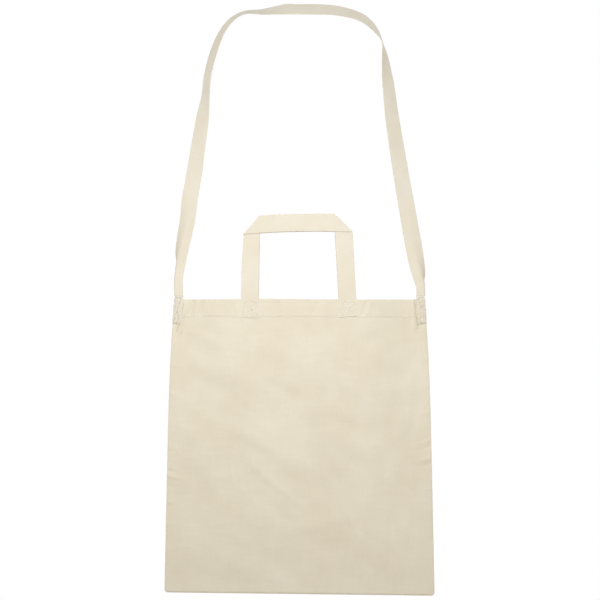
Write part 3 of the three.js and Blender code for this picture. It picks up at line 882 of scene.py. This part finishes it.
class BAG_OT_strap_stitching(bpy.types.Operator):
    """Sews a narrow box with a cross on both sides of each strap end"""

    bl_idname = "picking_bag.strap_stitching"
    bl_label = "Strap stitching"

    def execute(self, context):
        settings = context.scene.picking_bag
        material = finish_for("cotton_thread", settings)
        low = STRAP_END_BOTTOM + STRAP_BOX_INSET
        high = MOUTH + STRAP_BOX_RISE
        near, far = STRAP_BOX_SIDES
        face = STRAP_FACE + settings.strap_thickness / 2
        for side_name, side in (("left", -1), ("right", 1)):
            for body, facing in (("front", -1), ("back", 1)):
                corners = []
                for from_edge, z in ((near, low), (far, low), (far, high), (near, high)):
                    edge = float(side_edge(np.array(z - BOTTOM))) + STRAP_FACE
                    corners.append(np.array([side * (edge - from_edge), facing * face, z]))
                places, ways = sewn_box(corners, settings.stitch_length * 0.9)
                normals = np.tile([0.0, facing, 0.0], (len(places), 1))
                name = f"{side_name}_strap_{body}_stitches"
                piece = stitches(
                    name, places, ways, normals, material,
                    settings.stitch_length * 0.75, settings.thread_width * 1.15)
                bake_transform(piece)
                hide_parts(f"{side_name}_strap_{body}_stitching")
        return {"FINISHED"}


class BAG_OT_handles(bpy.types.Operator):
    """Makes both grab handles, each one flat strap folded at the corners"""

    bl_idname = "picking_bag.handles"
    bl_label = "Grab handles"

    def execute(self, context):
        settings = context.scene.picking_bag
        out = HANDLE_OFF_PANEL + settings.strap_thickness / 2
        lean_in = ((0.6 * MM, -1.2 * MM), (-0.8 * MM, -8.0 * MM))
        dip = (3.4 * MM, 0.9 * MM)
        half = settings.handle_width / 2 - HANDLE_BOX_INSET
        for body, facing in (("front", -1), ("back", 1)):
            middle, flat = handle_middle(settings, lean_in, dip)
            end = float(flat[-1, 0, 1])
            for low in (HANDLE_BOX_INSET, end - settings.handle_end + HANDLE_BOX_INSET):
                sewn = (-half, half, low, low + settings.handle_end - 2 * HANDLE_BOX_INSET)
                middle = quilted(middle, flat, sewn, settings.quilting)
            middle = crumple(middle, flat, 21, 0.1 * MM)
            middle[..., 1] -= out
            # The bar bows, highest in its middle.
            bow = smooth((middle[..., 2] - LEAN_LENGTH - 55 * MM) / (50 * MM))
            middle[..., 2] -= 2.2 * MM * bow * (middle[..., 0] / FOOT_SPREAD) ** 2
            # The left leg's outer edge curls back towards the top.
            curl = np.clip((-middle[..., 0] - 58 * MM) / (24 * MM), 0, 1)
            curl *= smooth((middle[..., 2] - LEAN_LENGTH - 40 * MM) / (60 * MM))
            middle[..., 0] += 2.6 * MM * curl
            middle[..., 1] += 2.0 * MM * curl ** 2
            points = from_panel_plane(middle, facing)
            mesh = strap_mesh(f"{body}_handle_cloth", points, flat, settings.strap_thickness)
            piece = new_object(f"{body}_handle_cloth", mesh, finish_for("strap_cloth", settings))
            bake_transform(piece)
            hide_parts(f"{body}_handle", f"{body}_handle_left_end", f"{body}_handle_right_end")
        return {"FINISHED"}


class BAG_OT_handle_stitching(bpy.types.Operator):
    """Sews a box with a cross on each end of the grab handles"""

    bl_idname = "picking_bag.handle_stitching"
    bl_label = "Handle stitching"

    def execute(self, context):
        settings = context.scene.picking_bag
        material = finish_for("cotton_thread", settings)
        half = settings.handle_width / 2 - HANDLE_BOX_INSET
        out = -(HANDLE_OFF_PANEL + settings.strap_thickness)
        low = LEAN_LENGTH - settings.handle_end + HANDLE_BOX_INSET
        high = LEAN_LENGTH - HANDLE_BOX_INSET
        for body, facing in (("front", -1), ("back", 1)):
            for side_name, side in (("left", -1), ("right", 1)):
                x = side * (FOOT_SPREAD + 0.2 * MM)
                left, right = x - half, x + half
                box = np.array([(left, out, low), (right, out, low), (right, out, high), (left, out, high)])
                places, ways = sewn_box(list(from_panel_plane(box, facing)), settings.stitch_length)
                normals = np.tile([0.0, facing * math.cos(LEAN), -math.sin(LEAN)], (len(places), 1))
                piece = stitches(
                    f"{body}_handle_{side_name}_stitches", places, ways, normals, material,
                    settings.stitch_length * 0.78, settings.thread_width)
                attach(piece, body)
                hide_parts(f"{body}_handle_{side_name}_stitching")
        return {"FINISHED"}


def area_lamp(name, size, watts, place, aim, spread=math.pi):
    """A square lamp aimed at a point, itself unseen."""
    light = bpy.data.lights.new(name, "AREA")
    light.shape = "SQUARE"
    light.size = size
    light.spread = spread
    light.energy = watts
    lamp = bpy.data.objects.new(name, light)
    lamp.location = place
    lamp.rotation_euler = (Vector(aim) - Vector(place)).to_track_quat("-Z", "Y").to_euler()
    lamp.visible_camera = False
    bpy.context.scene.collection.objects.link(lamp)


class BAG_OT_stage(bpy.types.Operator):
    """Sets up the floor, the backdrop, the lights and the camera"""

    bl_idname = "picking_bag.stage"
    bl_label = "Stage"

    def execute(self, context):
        scene = context.scene
        scene.view_settings.view_transform = "Standard"
        scene.view_settings.look = "None"
        floor_place = (0, 0, BOTTOM - 0.27)
        bpy.ops.mesh.primitive_circle_add(vertices=96, radius=4, fill_type="NGON", location=floor_place)
        floor = context.object
        floor.name = "studio_floor"
        paint = bpy.data.materials.new("studio_paint")
        paint.use_nodes = True
        surface = paint.node_tree.nodes["Principled BSDF"]
        surface.inputs["Base Color"].default_value = (0.74, 0.685, 0.62, 1)
        surface.inputs["Roughness"].default_value = 0.9
        surface.inputs["Specular IOR Level"].default_value = 0.0
        # The floor fades into the white surroundings towards its edge.
        surface.inputs["Emission Color"].default_value = (1, 1, 1, 1)
        tree = paint.node_tree
        place = node(tree, "ShaderNodeTexCoord").outputs["Object"]
        away = node(tree, "ShaderNodeVectorMath", {0: place}, operation="LENGTH").outputs["Value"]
        tree.links.new(shade(tree, away, 1.2, 3.8, 0.0, 0.3), surface.inputs["Emission Strength"])
        floor.data.materials.append(paint)

        world = bpy.data.worlds.new("studio_air")
        scene.world = world
        world.use_nodes = True
        # White low down all round, for an even background, and dimmer higher up.
        tree = world.node_tree
        way = node(tree, "ShaderNodeTexCoord").outputs["Generated"]
        height = node(tree, "ShaderNodeSeparateXYZ", {0: way}).outputs[2]
        tree.links.new(shade(tree, height, 0.12, 0.6, 1.0, 0.55), tree.nodes["Background"].inputs[1])
        tree.nodes["Background"].inputs[0].default_value = (1, 1, 1, 1)
        area_lamp("key_light", 0.6, 1.8, (-0.12, -1.1, 0.12), (0, 0, -0.44), math.radians(75))
        area_lamp("back_light", 1.0, 8, (0.9, 1.7, 0.5), (0, 0, -0.5))

        lens = bpy.data.cameras.new("camera")
        distance, seen = 7.0, 0.8556
        lens.sensor_width = 36
        lens.lens = lens.sensor_width * distance / seen
        lens.clip_end = 100
        camera = bpy.data.objects.new("camera", lens)
        camera.location = (0.0007, -distance, -0.4135)
        camera.rotation_euler = (math.pi / 2, 0, 0)
        scene.collection.objects.link(camera)
        scene.camera = camera
        return {"FINISHED"}


OPERATORS = [
    BAG_OT_stage, BAG_OT_shoulder_strap, BAG_OT_panels, BAG_OT_hem_stitching,
    BAG_OT_strap_stitching, BAG_OT_handles, BAG_OT_handle_stitching,
]


class BAG_PT_sidebar(bpy.types.Panel):
    """Lists the bag's pieces in the sidebar"""

    bl_idname = "BAG_PT_sidebar"
    bl_label = "Picking bag"
    bl_space_type = "VIEW_3D"
    bl_region_type = "UI"
    bl_category = "Picking bag"

    def draw(self, context):
        for name in BagSizes.__annotations__:
            self.layout.prop(context.scene.picking_bag, name)
        for operator in OPERATORS:
            self.layout.operator(operator.bl_idname)


CLASSES = [BagSizes, *OPERATORS, BAG_PT_sidebar]


def register():
    for cls in CLASSES:
        bpy.utils.register_class(cls)
    bpy.types.Scene.picking_bag = bpy.props.PointerProperty(type=BagSizes)


def unregister():
    del bpy.types.Scene.picking_bag
    for cls in reversed(CLASSES):
        bpy.utils.unregister_class(cls)


def main():
    register()
    bpy.ops.object.select_all(action="DESELECT")
    bpy.ops.picking_bag.stage()
    bpy.ops.picking_bag.shoulder_strap()
    bpy.ops.picking_bag.panels()
    bpy.ops.picking_bag.hem_stitching()
    bpy.ops.picking_bag.strap_stitching()
    bpy.ops.picking_bag.handles()
    bpy.ops.picking_bag.handle_stitching()


if __name__ == "__main__":
    main()
